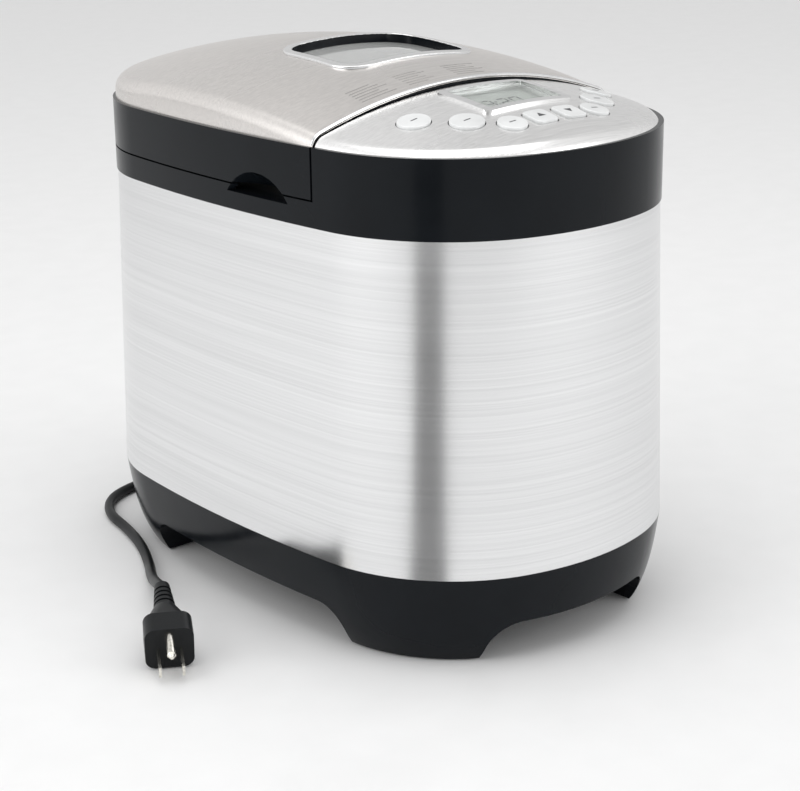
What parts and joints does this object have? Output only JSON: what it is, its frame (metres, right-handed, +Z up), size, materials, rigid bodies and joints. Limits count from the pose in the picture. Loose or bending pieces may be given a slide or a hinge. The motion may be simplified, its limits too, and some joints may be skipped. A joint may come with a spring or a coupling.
{
  "type": "bread machine",
  "caption": "Countertop bread machine with a bowed steel body, domed hinged lid with a window, front control panel, bread pan with paddle and belt drive, mains cord and plug.",
  "frame": {"origin": "on the standing surface, under the middle of the body, cord and plug left out", "axes": "+Z up, the control panel faces -Y, the lid hinge and the cord are at +Y, +X is to the right seen from the front"},
  "size_m": [0.3295, 0.4635, 0.32],
  "materials": {
    "black_plastic": "semi-gloss moulded plastic",
    "brushed_steel": "fine horizontal brush, satin",
    "steel_cover": "fine brush, warm satin",
    "bright_trim": "polished",
    "silver_button": "pearl gloss",
    "clear_glass": "clear, lightly tinted",
    "display_face": "grey-green liquid crystal",
    "circuit_board": "solder mask",
    "rubber": "matt",
    "silicone": "soft grey",
    "zinc_steel": "zinc plated sheet",
    "chamber_coat": "speckled enamel",
    "nonstick": "non-stick coating",
    "heater_sheath": "oxidised sheath",
    "bronze": "sintered bronze",
    "cast_metal": "die cast",
    "motor_iron": "laminated core",
    "grey_plastic": "natural nylon",
    "cord_jacket": "satin PVC jacket",
    "plug_metal": "nickel plated brass"
  },
  "bodies": {
    "base": {"base_housing": "black_plastic", "foot_pads": "rubber", "bottom_plate": "zinc_steel", "base_screws": "zinc_steel", "steel_shell": "brushed_steel", "upper_collar": "black_plastic", "hinge_pin": "zinc_steel", "panel_fascia": "steel_cover", "display_bezel": "bright_trim", "display_lens": "clear_glass", "display_module": "display_face", "control_board": "circuit_board", "baking_chamber": "chamber_coat", "heating_element": "heater_sheath", "temperature_probe": "bronze", "pan_seat": "cast_metal", "chassis_plate": "zinc_steel", "chassis_screws": "zinc_steel", "chamber_spacers": "grey_plastic", "drive_bearing": "bronze", "drive_belt": "rubber", "motor_housing": "motor_iron", "run_capacitor": "cast_metal", "power_board": "circuit_board", "heat_shield": "zinc_steel", "cord_coil": "cord_jacket", "coil_tie": "rubber", "cord_gland": "rubber", "plug_body": "cord_jacket", "plug_blades": "plug_metal", "plug_ground_pin": "plug_metal", "cord_lead": "cord_jacket", "cord_run": "cord_jacket"},
    "lid": {"lid_top": "steel_cover", "lid_skirt": "black_plastic", "window_frame": "bright_trim", "window_glass": "clear_glass", "inner_glass": "clear_glass", "lid_liner": "cast_metal", "lid_gasket": "silicone"},
    "pan": {"bread_pan": "nonstick", "pan_foot_ring": "cast_metal", "pan_bush": "bronze"},
    "handle": {"pan_handle": "bright_trim"},
    "paddle": {"pan_spindle": "zinc_steel", "pan_coupling": "cast_metal", "kneading_paddle": "nonstick"},
    "drive": {"drive_shaft": "zinc_steel", "drive_dog": "cast_metal", "drive_pulley": "grey_plastic"},
    "rotor": {"motor_shaft": "zinc_steel", "motor_pulley": "cast_metal"},
    "menu_button_body": {"menu_button": "silver_button"},
    "colour_button_body": {"colour_button": "silver_button"},
    "loaf_button_body": {"loaf_button": "silver_button"},
    "time_up_button_body": {"time_up_button": "silver_button"},
    "time_down_button_body": {"time_down_button": "silver_button"},
    "timer_button_body": {"timer_button": "silver_button"},
    "start_button_body": {"start_button": "silver_button"},
    "stop_button_body": {"stop_button": "silver_button"}
  },
  "joints": [
    {"name": "lid_hinge", "type": "hinge", "parent": "base", "child": "lid", "pos_m": [0, 0.17, 0.268], "axis": [-1, 0, 0], "range_deg": [0, 85]},
    {"name": "pan_lift", "type": "slide", "parent": "base", "child": "pan", "axis": [0, 0, 1], "range_m": [0, 0.012]},
    {"name": "handle_swing", "type": "hinge", "parent": "pan", "child": "handle", "pos_m": [0, 0.042, 0.241], "axis": [-1, 0, 0], "range_deg": [0, 12]},
    {"name": "drive_spin", "type": "hinge", "parent": "base", "child": "drive", "pos_m": [0, 0.042, 0.08], "axis": [0, 0, 1], "continuous": true},
    {"name": "paddle_spin", "type": "hinge", "parent": "pan", "child": "paddle", "pos_m": [0, 0.042, 0.12], "axis": [0, 0, 1], "continuous": true},
    {"name": "motor_spin", "type": "hinge", "parent": "base", "child": "rotor", "pos_m": [0, -0.112, 0.09], "axis": [0, 0, 1], "continuous": true},
    {"name": "menu_button_press", "type": "slide", "parent": "base", "child": "menu_button_body", "axis": [0, 0.1702, -0.9854], "range_m": [0, 0.0012], "stiffness_N_per_m": 400, "springref_m": -0.0005},
    {"name": "colour_button_press", "type": "slide", "parent": "base", "child": "colour_button_body", "axis": [0, 0.1702, -0.9854], "range_m": [0, 0.0012], "stiffness_N_per_m": 400, "springref_m": -0.0005},
    {"name": "loaf_button_press", "type": "slide", "parent": "base", "child": "loaf_button_body", "axis": [0, 0.1702, -0.9854], "range_m": [0, 0.0012], "stiffness_N_per_m": 400, "springref_m": -0.0005},
    {"name": "time_up_button_press", "type": "slide", "parent": "base", "child": "time_up_button_body", "axis": [0, 0.1702, -0.9854], "range_m": [0, 0.0012], "stiffness_N_per_m": 400, "springref_m": -0.0005},
    {"name": "time_down_button_press", "type": "slide", "parent": "base", "child": "time_down_button_body", "axis": [0, 0.1702, -0.9854], "range_m": [0, 0.0012], "stiffness_N_per_m": 400, "springref_m": -0.0005},
    {"name": "timer_button_press", "type": "slide", "parent": "base", "child": "timer_button_body", "axis": [0, 0.1702, -0.9854], "range_m": [0, 0.0012], "stiffness_N_per_m": 400, "springref_m": -0.0005},
    {"name": "start_button_press", "type": "slide", "parent": "base", "child": "start_button_body", "axis": [0, 0.1702, -0.9854], "range_m": [0, 0.0012], "stiffness_N_per_m": 400, "springref_m": -0.0005},
    {"name": "stop_button_press", "type": "slide", "parent": "base", "child": "stop_button_body", "axis": [0, 0.1702, -0.9854], "range_m": [0, 0.0012], "stiffness_N_per_m": 400, "springref_m": -0.0005}
  ],
  "couplings": [
    {"joint": "paddle_spin", "follows": "drive_spin", "ratio": 1},
    {"joint": "motor_spin", "follows": "drive_spin", "ratio": 6}
  ]
}
